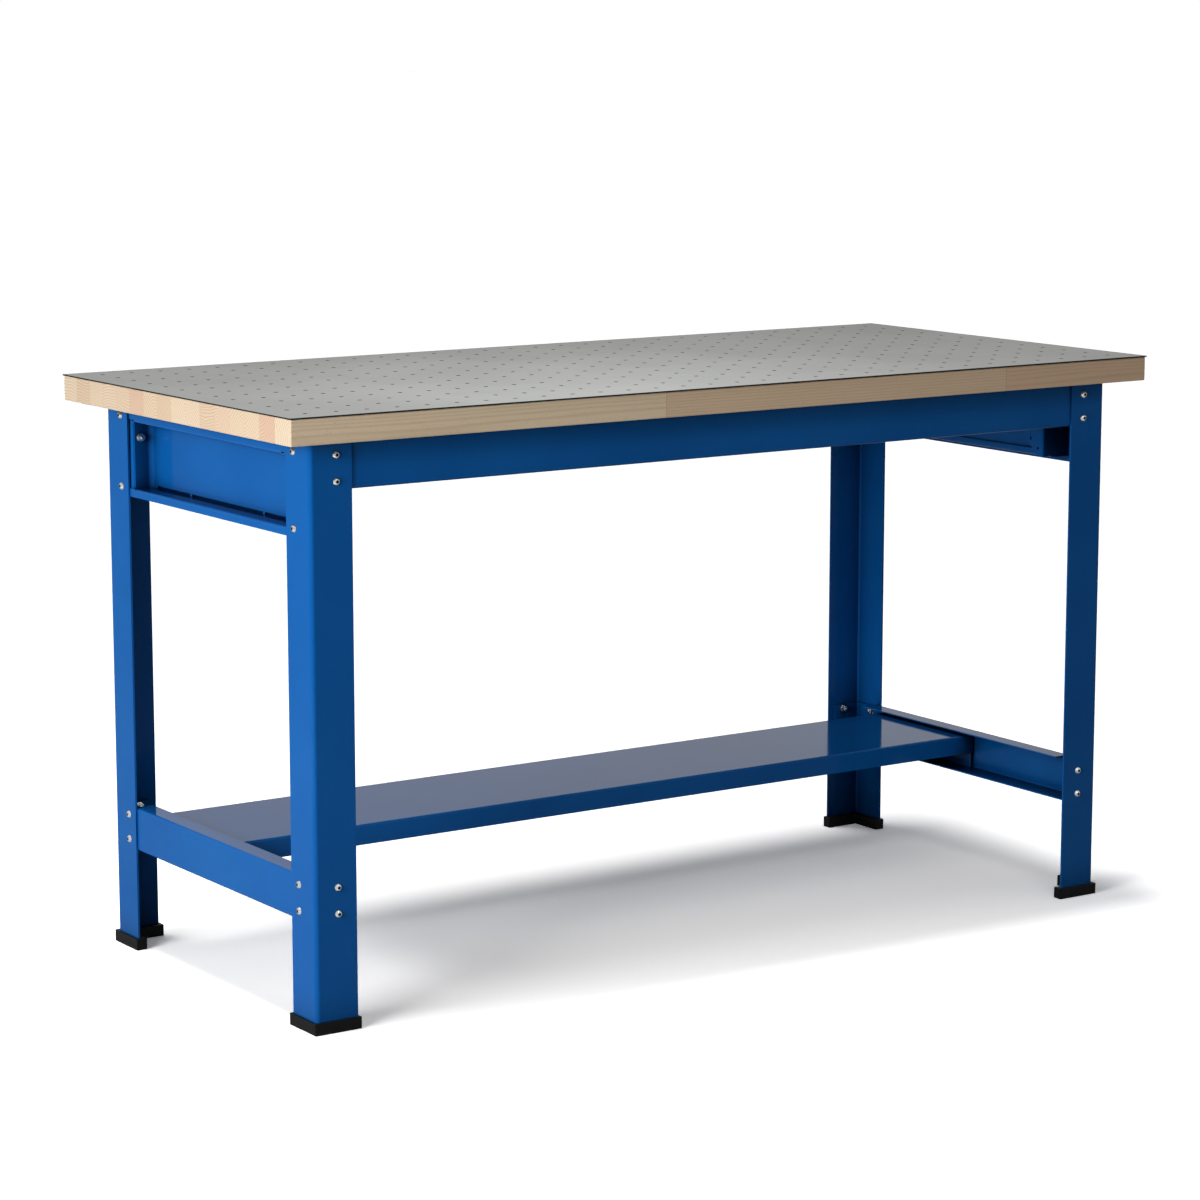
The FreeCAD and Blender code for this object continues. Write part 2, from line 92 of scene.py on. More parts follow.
class Value:
    """Number that changes over a surface: an output socket whose arithmetic adds Math nodes."""

    def __init__(self, graph: "Graph", socket: Socket) -> None:
        """Keeps the graph and the socket that gives the number."""
        self.graph = graph
        self.socket = socket

    def _math(self, operation: str, *terms: "Term", clamp: bool = False) -> "Value":
        """Result of one Math node.

        Args:
            operation: the node's operation.
            terms: its inputs, in order.
            clamp: whether the result is held between 0 and 1.

        Returns:
            The result as a value.
        """
        settings = {"operation": operation, "use_clamp": clamp}
        node = self.graph.node("ShaderNodeMath", settings, dict(enumerate(terms)))
        return Value(self.graph, node.outputs[0])

    def __add__(self, other: "Term") -> "Value":
        """This plus other."""
        return self._math("ADD", self, other)

    __radd__ = __add__

    def __sub__(self, other: "Term") -> "Value":
        """This minus other."""
        return self._math("SUBTRACT", self, other)

    def __rsub__(self, other: "Term") -> "Value":
        """Other minus this."""
        return self._math("SUBTRACT", other, self)

    def __mul__(self, other: "Term") -> "Value":
        """This times other."""
        return self._math("MULTIPLY", self, other)

    __rmul__ = __mul__

    def __truediv__(self, other: "Term") -> "Value":
        """This over other."""
        return self._math("DIVIDE", self, other)

    def __rtruediv__(self, other: "Term") -> "Value":
        """Other over this."""
        return self._math("DIVIDE", other, self)

    def __pow__(self, other: "Term") -> "Value":
        """This to the power of other."""
        return self._math("POWER", self, other)

    def __rpow__(self, other: "Term") -> "Value":
        """Other to the power of this."""
        return self._math("POWER", other, self)

    def __abs__(self) -> "Value":
        """Size of this without its sign."""
        return self._math("ABSOLUTE", self)

    def floor(self) -> "Value":
        """Whole part."""
        return self._math("FLOOR", self)

    def fract(self) -> "Value":
        """Part after the whole part."""
        return self._math("FRACT", self)

    def sine(self) -> "Value":
        """Sine of an angle in radians."""
        return self._math("SINE", self)

    def ease(self, low: float, high: float) -> "Value":
        """Smooth step.

        Args:
            low: the input that gives 0.
            high: the input that gives 1; below low for a falling step.

        Returns:
            A value from 0 to 1.
        """
        t = self._math("MULTIPLY", self - low, 1.0 / (high - low), clamp=True)
        return t * t * (3.0 - 2.0 * t)


Term = Value | float | int


class Graph:
    """Node tree that is being drawn, for a material, the world or a modifier."""

    def __init__(self, tree: bpy.types.NodeTree) -> None:
        """Starts on an empty tree."""
        self.tree = tree
        tree.nodes.clear()

    def node(
        self,
        kind: str,
        settings: Mapping[str, Any] | None = None,
        inputs: Mapping[str | int, Any] | None = None,
    ) -> Node:
        """Adds a node.

        Args:
            kind: the node's type.
            settings: its properties, set first.
            inputs: values or links by the name or number of the socket.

        Returns:
            The new node.
        """
        node = self.tree.nodes.new(kind)
        for name, setting in (settings or {}).items():
            setattr(node, name, setting)
        for key, given in (inputs or {}).items():
            socket = node.inputs[key] if isinstance(key, int) else self._named(node.inputs, key)
            self._feed(socket, given)
        return node

    def _feed(self, socket: Socket, given: Any) -> None:
        """Links or sets one input socket.

        Args:
            socket: the input.
            given: a value, a socket, a node for its first output, or a plain number, colour or vector.
        """
        if isinstance(given, Node):
            given = next(output for output in given.outputs if output.enabled)
        elif isinstance(given, Value):
            given = given.socket
        if isinstance(given, Socket):
            self.tree.links.new(given, socket)
        else:
            socket.default_value = (*given, 1.0) if socket.type == "RGBA" else given

    @staticmethod
    def _named(sockets: bpy.types.NodeInputs, name: str) -> Socket:
        """First socket in use with a name."""
        return next(socket for socket in sockets if socket.name == name and socket.enabled)

    def value(self, node: Node, output: str | int) -> Value:
        """One output of a node as a value."""
        return Value(self, node.outputs[output])

    def place(self) -> Socket:
        """Object coordinates, in metres."""
        return self.node("ShaderNodeTexCoord").outputs["Object"]

    def split(self, vector: Socket) -> tuple[Value, Value, Value]:
        """The three parts of a vector."""
        node = self.node("ShaderNodeSeparateXYZ", inputs={"Vector": vector})
        return self.value(node, 0), self.value(node, 1), self.value(node, 2)

    def chance(self, seed: Value) -> Value:
        """Even random number from 0 to 1 for each whole seed."""
        node = self.node("ShaderNodeTexWhiteNoise", {"noise_dimensions": "1D"}, {"W": seed})
        return self.value(node, "Value")

    def mix(self, share: Term, first: Any, second: Any) -> Socket:
        """Colour between two colours.

        Args:
            share: how much of the second there is.
            first: a colour or a colour socket.
            second: a colour or a colour socket.

        Returns:
            The socket of the mixed colour.
        """
        inputs = {"Factor": share, "A": first, "B": second}
        return self.node("ShaderNodeMix", {"data_type": "RGBA"}, inputs).outputs[2]

    def bump(self, height: Value, strength: float, distance: float) -> Socket:
        """Normal of a surface with fine relief.

        Args:
            height: the relief, from 0 to 1.
            strength: how much of it shows.
            distance: how high a height of 1 is, in metres.

        Returns:
            The normal's socket.
        """
        inputs = {"Height": height, "Strength": strength, "Distance": distance}
        return self.node("ShaderNodeBump", inputs=inputs).outputs["Normal"]


@dataclass(frozen=True)
class Texture:
    """Cloudy noise: its waves in a metre, the same all ways or by axis, its octaves, and the gain of each."""

    waves: float | Point
    detail: float = 2.0
    gain: float = 0.55

    def read(self, graph: Graph, place: Socket) -> Value:
        """Draws the noise.

        Args:
            graph: the material's tree.
            place: where it is read, in metres.

        Returns:
            A value from about 0 to 1.
        """
        scale = self.waves
        if isinstance(scale, tuple):
            place = graph.node("ShaderNodeMapping", inputs={"Vector": place, "Scale": scale}).outputs[0]
            scale = 1.0
        inputs = {"Vector": place, "Scale": scale, "Detail": self.detail, "Roughness": self.gain}
        return graph.value(graph.node("ShaderNodeTexNoise", inputs=inputs), 0)


@dataclass(frozen=True)
class Finish:
    """What a surface is made of.

    A step is the pair of inputs between which a tone sets in, a share is how much of it shows, and a relief
    is the strength of a bump and its height in metres.
    """

    name: str
    slot: Slot

    def material(self) -> bpy.types.Material:
        """Draws the finish's material, or finds the one that is drawn.

        Returns:
            The material, shared by all pieces in this finish.
        """
        found = bpy.data.materials.get(self.name)
        if found:
            return found
        material = bpy.data.materials.new(self.name)
        material.use_nodes = True
        graph = Graph(material.node_tree)
        shader = graph.node("ShaderNodeBsdfPrincipled", inputs=self.surface(graph))
        graph.node("ShaderNodeOutputMaterial", inputs={"Surface": shader})
        return material

    def surface(self, graph: Graph) -> dict[str, Any]:
        """Inputs of the finish's shader.

        Args:
            graph: the material's tree.

        Returns:
            Values and links by socket name.
        """
        raise NotImplementedError


@dataclass(frozen=True)
class BluePaint(Finish):
    """Gloss powder coat with a faint orange peel, thinner in places, with painted shade in closed corners."""

    name: str = "gloss_blue_powder_coat"
    slot: Slot = Slot.PAINT
    thick: Colour = (0.0032, 0.092, 0.340)
    thin: Colour = (0.0052, 0.107, 0.370)
    cloud: Texture = Texture(4.0, 3.0)
    cloud_step: Pair = (0.3, 0.7)
    # Painted shade: a dark blue laid on through an ambient occlusion mask, with its reach, rays and step.
    painted_corner_shade: Colour = (0.0005, 0.009, 0.036)
    corner_shade_reach: float = 0.12
    corner_shade_rays: int = 12
    corner_shade_step: Pair = (0.8, 0.2)
    haze: Texture = Texture(38.0, 4.0)
    haze_share: float = 0.05
    peel: Texture = Texture(330.0, 1.0)
    relief: Pair = (0.05, 0.0006)
    roughness: float = 0.09
    refraction: float = 1.12

    def surface(self, graph: Graph) -> dict[str, Any]:
        """Two blues in slow clouds, painted shade where faces close in on each other, and a fine peel.

        Args:
            graph: the material's tree.

        Returns:
            Values and links by socket name.
        """
        place = graph.place()
        coat = graph.mix(self.cloud.read(graph, place).ease(*self.cloud_step), self.thick, self.thin)
        # Painted shade: ambient occlusion darkens the coat in corners, in recesses and under the board.
        around = graph.node(
            "ShaderNodeAmbientOcclusion", {"samples": self.corner_shade_rays}, {"Distance": self.corner_shade_reach}
        )
        closed = graph.value(around, "AO").ease(*self.corner_shade_step)
        haze = self.haze.read(graph, place) - 0.5
        return {
            "Base Color": graph.mix(closed, coat, self.painted_corner_shade),
            "Roughness": self.roughness + haze * self.haze_share,
            "IOR": self.refraction,
            "Normal": graph.bump(self.peel.read(graph, place), *self.relief),
        }


@dataclass(frozen=True)
class Beech(Finish):
    """Beech staves glued side by side, each cut from its own place in a log."""

    name: str = "oiled_beech_staves"
    slot: Slot = Slot.WOOD
    depth: float = 0.677
    middle_height: float = 0.83
    stave_width: float = 0.0423
    stave_length: float = 0.62
    stave_shift: float = 9.0
    stave_seeds: float = 31.0
    pale: Colour = (0.94, 0.78, 0.55)
    tan: Colour = (0.82, 0.63, 0.42)
    pink: Colour = (0.80, 0.53, 0.37)
    pink_seed: float = 977.0
    pink_step: Pair = (0.62, 0.95)
    pink_share: float = 0.75
    pith_seeds: Pair = (313.0, 571.0)
    pith_spread: Pair = (0.11, 0.2)
    ring_width: float = 0.0042
    ring_power: float = 3.0
    ring_share: float = 0.26
    end_ring_share: float = 0.24
    late_wood: Colour = (0.46, 0.28, 0.155)
    sway: Texture = Texture((1.4, 22.0, 22.0))
    sway_reach: float = 0.012
    fibre: Texture = Texture((14.0, 900.0, 900.0), 3.0)
    fibre_step: Pair = (0.5, 0.8)
    fibre_share: float = 0.22
    ray: Texture = Texture((150.0, 950.0, 950.0), 1.0)
    ray_step: Pair = (0.66, 0.78)
    ray_share: float = 0.35
    fleck: Colour = (0.33, 0.17, 0.085)
    end_step: Pair = (0.6, 0.8)
    # End faces: end grain is darker than long grain, and this tone deepens it with painted shade that evens
    # the lamp-lit ends with the shaded front.
    end_grain_and_shade_tone: Colour = (0.13, 0.085, 0.10)
    end_grain_and_shade_share: float = 0.345
    seam_step: Pair = (0.488, 0.497)
    butt_step: Pair = (0.4988, 0.4997)
    glue: Colour = (0.30, 0.18, 0.10)
    glue_share: float = 0.3
    # Painted shade: the board's top, seen only through the sheet's holes, is darkened so the holes read as
    # dark.
    hole_shade_step: Pair = (0.6, 0.9)
    painted_hole_shade: Colour = (0.045, 0.036, 0.028)
    roughness: float = 0.42
    fibre_roughness: float = 0.16
    refraction: float = 1.4
    fibre_relief: float = 0.6
    ring_relief: float = 0.2
    relief: Pair = (0.12, 0.0005)

    def rings(self, graph: Graph, place: Socket, stave: Value, piece: Value) -> Value:
        """Growth rings round each piece's own pith.

        Args:
            graph: the material's tree.
            place: object coordinates.
            stave: number of the stave.
            piece: number of the length of wood in it.

        Returns:
            A value that swings between 0 and 1 from ring to ring.
        """
        _, y, z = graph.split(place)
        off_y, off_z = (
            (graph.chance(piece + seed) - 0.5) * spread
            for seed, spread in zip(self.pith_seeds, self.pith_spread)
        )
        from_y = y - ((stave + 0.5) * self.stave_width - self.depth / 2 + off_y)
        from_z = z - (self.middle_height + off_z)
        sway = self.sway.read(graph, place) * self.sway_reach
        radius = (from_y * from_y + from_z * from_z) ** 0.5 + sway
        return (radius * (2 * math.pi / self.ring_width)).sine() * 0.5 + 0.5

    def surface(self, graph: Graph) -> dict[str, Any]:
        """Staves of several tones with rings, fibres, ray flecks and glue lines, darker end grain deepened by
        painted shade, and painted shade under the sheet.

        Args:
            graph: the material's tree.

        Returns:
            Values and links by socket name.
        """
        place = graph.place()
        x, y, _ = graph.split(place)
        across = (y + self.depth / 2) / self.stave_width
        stave = across.floor()
        along = x / self.stave_length + graph.chance(stave) * self.stave_shift
        piece = stave * self.stave_seeds + along.floor()
        warmth = graph.chance(piece + self.pink_seed).ease(*self.pink_step)
        ring = self.rings(graph, place, stave, piece)
        fibre = self.fibre.read(graph, place)
        ray = self.ray.read(graph, place).ease(*self.ray_step)
        seam = abs(across.fract() - 0.5).ease(*self.seam_step)
        butt = abs(along.fract() - 0.5).ease(*self.butt_step)
        normal = graph.split(graph.node("ShaderNodeNewGeometry").outputs["Normal"])
        end = abs(normal[0]).ease(*self.end_step)
        layers = (
            (warmth * self.pink_share, self.pink),
            (ring**self.ring_power * (self.ring_share + end * self.end_ring_share), self.late_wood),
            (fibre.ease(*self.fibre_step) * self.fibre_share, self.late_wood),
            (ray * self.ray_share, self.fleck),
            # End faces: darker end grain, deepened by painted shade.
            (end * self.end_grain_and_shade_share, self.end_grain_and_shade_tone),
            ((seam + butt) * self.glue_share, self.glue),
            # Painted shade on the upward faces, under the sheet's holes.
            (normal[2].ease(*self.hole_shade_step), self.painted_hole_shade),
        )
        colour = graph.mix(graph.chance(piece), self.pale, self.tan)
        for share, tone in layers:
            colour = graph.mix(share, colour, tone)
        return {
            "Base Color": colour,
            "Roughness": self.roughness + fibre * self.fibre_roughness,
            "IOR": self.refraction,
            "Normal": graph.bump(fibre * self.fibre_relief + ring * self.ring_relief, *self.relief),
        }


@dataclass(frozen=True)
class SatinSteel(Finish):
    """Grey rolled sheet with a satin face, dark cut edges, and painted shade in its holes."""

    name: str = "satin_grey_sheet"
    slot: Slot = Slot.COVER
    light: Colour = (0.375, 0.38, 0.37)
    dull: Colour = (0.325, 0.33, 0.32)
    cloud: Texture = Texture(5.0, 4.0)
    cloud_step: Pair = (0.3, 0.7)
    cloud_share: float = 0.6
    rolled: Texture = Texture((7.0, 700.0, 700.0), 3.0)
    rolled_share: float = 0.4
    # Dark tone of upright faces: partly the darker cut steel of the edges, partly painted shade on the walls
    # of the holes.
    cut_edge_and_hole_shade: Colour = (0.025, 0.027, 0.03)
    upright_shade_step: Pair = (0.92, 0.8)
    metallic: float = 0.06
    roughness: float = 0.46
    rolled_roughness: float = 0.1
    cloud_roughness: float = 0.06
    refraction: float = 1.02
    grit: Texture = Texture(1300.0, 1.0)
    relief: Pair = (0.06, 0.0003)

    def surface(self, graph: Graph) -> dict[str, Any]:
        """Rolling marks along the sheet, slow clouds, and a dark tone on upright faces.

        Args:
            graph: the material's tree.

        Returns:
            Values and links by socket name.
        """
        place = graph.place()
        cloud, rolled, grit = (texture.read(graph, place) for texture in (self.cloud, self.rolled, self.grit))
        normal = graph.split(graph.node("ShaderNodeNewGeometry").outputs["Normal"])
        # Upright faces (cut edges and hole walls) take the dark tone: partly cut steel, partly painted shade
        # that makes the holes read dark.
        upright = abs(normal[2]).ease(*self.upright_shade_step)
        wear = cloud.ease(*self.cloud_step) * self.cloud_share + rolled * self.rolled_share
        return {
            "Base Color": graph.mix(upright, graph.mix(wear, self.light, self.dull), self.cut_edge_and_hole_shade),
            "Metallic": self.metallic,
            "Roughness": self.roughness + rolled * self.rolled_roughness + cloud * self.cloud_roughness,
            "IOR": self.refraction,
            "Normal": graph.bump((rolled + grit) * 0.5, *self.relief),
        }


@dataclass(frozen=True)
class MouldedPlastic(Finish):
    """Black moulded plastic with a fine grain."""

    name: str = "black_moulded_plastic"
    slot: Slot = Slot.BOOT
    fresh: Colour = (0.003, 0.003, 0.003)
    scuffed: Colour = (0.014, 0.014, 0.014)
    scuff_height: Pair = (0.006, 0.0)
    rub: Texture = Texture(90.0, 4.0)
    rub_step: Pair = (0.45, 0.75)
    grain: Texture = Texture(1500.0, 2.0)
    roughness: float = 0.46
    grain_roughness: float = 0.2
    refraction: float = 1.2
    relief: Pair = (0.25, 0.0003)

    def surface(self, graph: Graph) -> dict[str, Any]:
        """Grain over a nearly even black, greyer where it rubs on the floor.

        Args:
            graph: the material's tree.

        Returns:
            Values and links by socket name.
        """
        place = graph.place()
        grain = self.grain.read(graph, place)
        low = graph.split(place)[2].ease(*self.scuff_height)
        scuff = low * self.rub.read(graph, place).ease(*self.rub_step)
        return {
            "Base Color": graph.mix(scuff, self.fresh, self.scuffed),
            "Roughness": self.roughness + grain * self.grain_roughness,
            "IOR": self.refraction,
            "Normal": graph.bump(grain, *self.relief),
        }


@dataclass(frozen=True)
class BrightZinc(Finish):
    """Bright zinc plate with a faint blue and straw cast."""

    name: str = "bright_zinc_plate"
    slot: Slot = Slot.ZINC
    cool: Colour = (0.53, 0.56, 0.59)
    straw: Colour = (0.58, 0.56, 0.51)
    cast: Texture = Texture(160.0, 3.0)
    cast_step: Pair = (0.35, 0.65)
    # Painted shade: the dark tone laid in sockets and round the seat of a head.
    grime: Colour = (0.012, 0.014, 0.018)
    scratch: Texture = Texture((900.0, 900.0, 2600.0))
    roughness: float = 0.16
    scratch_roughness: float = 0.16
    relief: Pair = (0.05, 0.0002)

    def surface(self, graph: Graph) -> dict[str, Any]:
        """Two casts in clouds, painted shade in the socket and round the head's seat, and fine scratches in
        the gloss.

        Args:
            graph: the material's tree.

        Returns:
            Values and links by socket name.
        """
        place = graph.place()
        scratch = self.scratch.read(graph, place)
        # Painted shade: darkens the zinc where the rings carry it, in the socket and as a contact shadow
        # round the head's seat.
        painted_shade_mask = graph.value(graph.node("ShaderNodeAttribute", {"attribute_name": PAINTED_SHADE}), "Fac")
        plate = graph.mix(self.cast.read(graph, place).ease(*self.cast_step), self.cool, self.straw)
        return {
            "Base Color": graph.mix(painted_shade_mask, plate, self.grime),
            "Metallic": 1.0,
            "Roughness": self.roughness + scratch * self.scratch_roughness,
            "Normal": graph.bump(scratch, *self.relief),
        }


def new_piece(name: str, mesh: Mesh) -> Piece:
    """Puts an object in the scene, at the origin.

    Args:
        name: the object's name.
        mesh: its shape.

    Returns:
        The object.
    """
    piece = bpy.data.objects.new(name, mesh)
    bpy.context.scene.collection.objects.link(piece)
    return piece


def make_plain(piece: Piece) -> None:
    """Turns what an object's modifiers make into its own mesh.

    Args:
        piece: the object.
    """
    depsgraph = bpy.context.evaluated_depsgraph_get()
    mesh = bpy.data.meshes.new_from_object(
        piece.evaluated_get(depsgraph), preserve_all_data_layers=True, depsgraph=depsgraph
    )
    piece.modifiers.clear()
    before = piece.data
    piece.data = mesh
    mesh.name = piece.name
    bpy.data.meshes.remove(before)


@dataclass
class SubAssembly:
    """Pieces that a build method makes, each by the node that it stands for."""

    finish: Finish
    pieces: dict[str, Piece] = field(default_factory=dict)

    def dress(self) -> None:
        """Gives each piece its finish, sets it on the body and lets it stand for its node."""
        finish = self.finish
        for node, piece in self.pieces.items():
            piece.data.materials.clear()
            piece.data.materials.append(finish.material())
            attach(piece, BODY)
            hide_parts(node)
            LOG.info("%s: %d faces in %s", piece.name, len(piece.data.polygons), finish.name)


@dataclass
class RoundedCopies(SubAssembly):
    """Copies of nodes with rounded edges.

    Points within the weld are joined, faces that meet below the flat angle become one, and edges above the
    sharp angle are rounded.
    """

    nodes: tuple[str, ...] = ()
    ending: str = "copy"
    edge: float = 0.5 * MM
    segments: int = 2
    weld: float = 0.005 * MM
    flat_angle: float = math.radians(0.3)
    sharp_angle: float = math.radians(50.0)
    face_weight: int = 100

    def build(self) -> None:
        """Makes a rounded copy of each node."""
        for node in self.nodes:
            self.pieces[node] = self.rounded(node)

    def rounded(self, node: str) -> Piece:
        """Copies a node and rounds its sharp edges.

        Args:
            node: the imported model's node.

        Returns:
            The new piece.
        """
        name = f"{node}_{self.ending}"
        work = bmesh.new()
        work.from_mesh(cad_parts[node].data)
        bmesh.ops.remove_doubles(work, verts=work.verts, dist=self.weld)
        bmesh.ops.dissolve_limit(work, angle_limit=self.flat_angle, verts=work.verts, edges=work.edges)
        mesh = bpy.data.meshes.new(name)
        work.to_mesh(mesh)
        work.free()
        mesh.shade_smooth()
        piece = new_piece(name, mesh)
        bevel = piece.modifiers.new("edges", "BEVEL")
        bevel.width = self.edge
        bevel.segments = self.segments
        bevel.limit_method = "ANGLE"
        bevel.angle_limit = self.sharp_angle
        bevel.miter_outer = "MITER_ARC"
        normals = piece.modifiers.new("normals", "WEIGHTED_NORMAL")
        normals.weight = self.face_weight
        normals.keep_sharp = True
        make_plain(piece)
        return piece


@dataclass
class PaintedFrame(RoundedCopies):
    """Legs, rails, brackets and shelf of folded sheet, with edges softened by the paint."""

    finish: Finish = BluePaint()
    nodes: tuple[str, ...] = (
        "front_rail",
        "rear_rail",
        "shelf",
        *(f"{side}_{level}_end_rail" for side in ("left", "right") for level in ("upper", "lower")),
        *(f"{corner}_{piece}" for corner in CORNERS for piece in ("leg", "corner_bracket")),
    )
    ending: str = "painted"
    edge: float = 0.45 * MM


@dataclass
class Boots(RoundedCopies):
    """Black feet on the legs."""

    finish: Finish = MouldedPlastic()
    nodes: tuple[str, ...] = tuple(f"{corner}_foot" for corner in CORNERS)
    ending: str = "boot"
    edge: float = 0.8 * MM
    segments: int = 3


class Kit:
    """Node group for a modifier, with named inputs."""

    def __init__(self, name: str) -> None:
        """Starts a group that takes and gives a mesh.

        Args:
            name: the group's name.
        """
        self.group = bpy.data.node_groups.new(name, "GeometryNodeTree")
        self.graph = Graph(self.group)
        self.sockets: dict[str, str] = {}
        for way in ("OUTPUT", "INPUT"):
            self.group.interface.new_socket("Geometry", in_out=way, socket_type="NodeSocketGeometry")

    def takes(self, **kinds: str) -> Node:
        """Adds named inputs.

        Args:
            kinds: socket type by input name.

        Returns:
            The node that gives the inputs to the tree.
        """
        for name, kind in kinds.items():
            made = self.group.interface.new_socket(name, in_out="INPUT", socket_type=f"NodeSocket{kind}")
            self.sockets[name] = made.identifier
        return self.graph.node("NodeGroupInput")

    def ends_in(self, geometry: Node, material: Socket) -> None:
        """Closes the tree with real meshes in a material.

        Args:
            geometry: the node that gives what the tree has made.
            material: the input that gives the material.
        """
        real = self.graph.node("GeometryNodeRealizeInstances", inputs={"Geometry": geometry})
        dressed = self.graph.node("GeometryNodeSetMaterial", inputs={"Geometry": real, "Material": material})
        self.graph.node("NodeGroupOutput", inputs={"Geometry": dressed})

    def apply(self, piece: Piece, **values: Any) -> None:
        """Runs the group on a piece and keeps the result as its mesh.

        Args:
            piece: the object that gets the modifier.
            values: what each named input is.
        """
        modifier = piece.modifiers.new(self.group.name, "NODES")
        modifier.node_group = self.group
        for name, value in values.items():
            modifier[self.sockets[name]] = value
        make_plain(piece)


@dataclass
class Worktop(SubAssembly):
    """Beech board and the perforated sheet on it."""

    finish: Finish = SatinSteel()
    wood: Finish = Beech()
    pitch_along: float = 47.0 * MM
    pitch_across: float = 50.0 * MM
    columns: int = 31
    rows: int = 13
    hole_radius: float = 3.0 * MM
    rim_width: float = 0.45 * MM
    hole_sides: int = 20
    drill_reach: float = 3.0

    def build(self) -> None:
        """Makes the sheet and pierces it."""
        low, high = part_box("cover_sheet")
        size = high - low
        name = "perforated_cover_sheet"
        sheet = new_piece(name, bpy.data.meshes.new(name))
        self.perforation().apply(
            sheet,
            Length=size.x,
            Depth=size.y,
            Thickness=size.z,
            Bottom=low.z,
            PitchAlong=self.pitch_along,
            PitchAcross=self.pitch_across,
            Columns=self.columns,
            Rows=self.rows,
            HoleRadius=self.hole_radius,
            RimWidth=self.rim_width,
            Sides=self.hole_sides,
            Material=self.finish.material(),
        )
        self.pieces["cover_sheet"] = sheet

    def perforation(self) -> Kit:
        """Node group for a flat sheet with a grid of holes whose rims are broken.

        Returns:
            The group.
        """
        kit = Kit("perforated_sheet")
        lengths = ("Length", "Depth", "Thickness", "Bottom")
        spacings = ("PitchAlong", "PitchAcross", "HoleRadius", "RimWidth")
        counts = ("Columns", "Rows", "Sides")
        kinds = dict.fromkeys(lengths + spacings, "Float") | dict.fromkeys(counts, "Int")
        given = kit.takes(**kinds, Material="Material").outputs
        graph = kit.graph
        length, depth, thickness, bottom = (Value(graph, given[name]) for name in lengths)
        pitch_along, pitch_across, radius, rim = (Value(graph, given[name]) for name in spacings)
        columns, rows, sides = (Value(graph, given[name]) for name in counts)
        size = graph.node("ShaderNodeCombineXYZ", inputs={0: length, 1: depth, 2: thickness})
        pierced = graph.node("GeometryNodeMeshCube", inputs={"Size": size})
        field_size = {"Size X": (columns - 1) * pitch_along, "Size Y": (rows - 1) * pitch_across}
        field_count = {"Vertices X": columns, "Vertices Y": rows}
        grid = graph.node("GeometryNodeMeshGrid", inputs=field_size | field_count)
        bore = {"Vertices": sides, "Radius": radius, "Depth": thickness * self.drill_reach}
        drill = graph.node("GeometryNodeMeshCylinder", inputs=bore)
        cone = {"Radius Top": radius + rim * 2, "Radius Bottom": radius, "Depth": rim * 2}
        sink = graph.node("GeometryNodeMeshCone", inputs={"Vertices": sides} | cone)
        depth_in = graph.node("ShaderNodeCombineXYZ", inputs={2: thickness / 2 - rim})
        sunk = graph.node("GeometryNodeTransform", inputs={"Geometry": sink, "Translation": depth_in})
        for cutter in (drill, sunk):
            cutters = graph.node("GeometryNodeInstanceOnPoints", inputs={"Points": grid, "Instance": cutter})
            real = graph.node("GeometryNodeRealizeInstances", inputs={"Geometry": cutters})
            pierced = graph.node(
                "GeometryNodeMeshBoolean",
                {"operation": "DIFFERENCE", "solver": "MANIFOLD"},
                {"Mesh 1": pierced, "Mesh 2": real},
            )
        lift = graph.node("ShaderNodeCombineXYZ", inputs={2: bottom + thickness / 2})
        lifted = graph.node("GeometryNodeTransform", inputs={"Geometry": pierced, "Translation": lift})
        kit.ends_in(lifted, given["Material"])
        return kit

    def dress(self) -> None:
        """Gives the sheet its steel and the board its wood."""
        super().dress()
        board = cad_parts["worktop_board"]
        board.data.materials.clear()
        board.data.materials.append(self.wood.material())
        LOG.info("worktop_board: %s", self.wood.name)


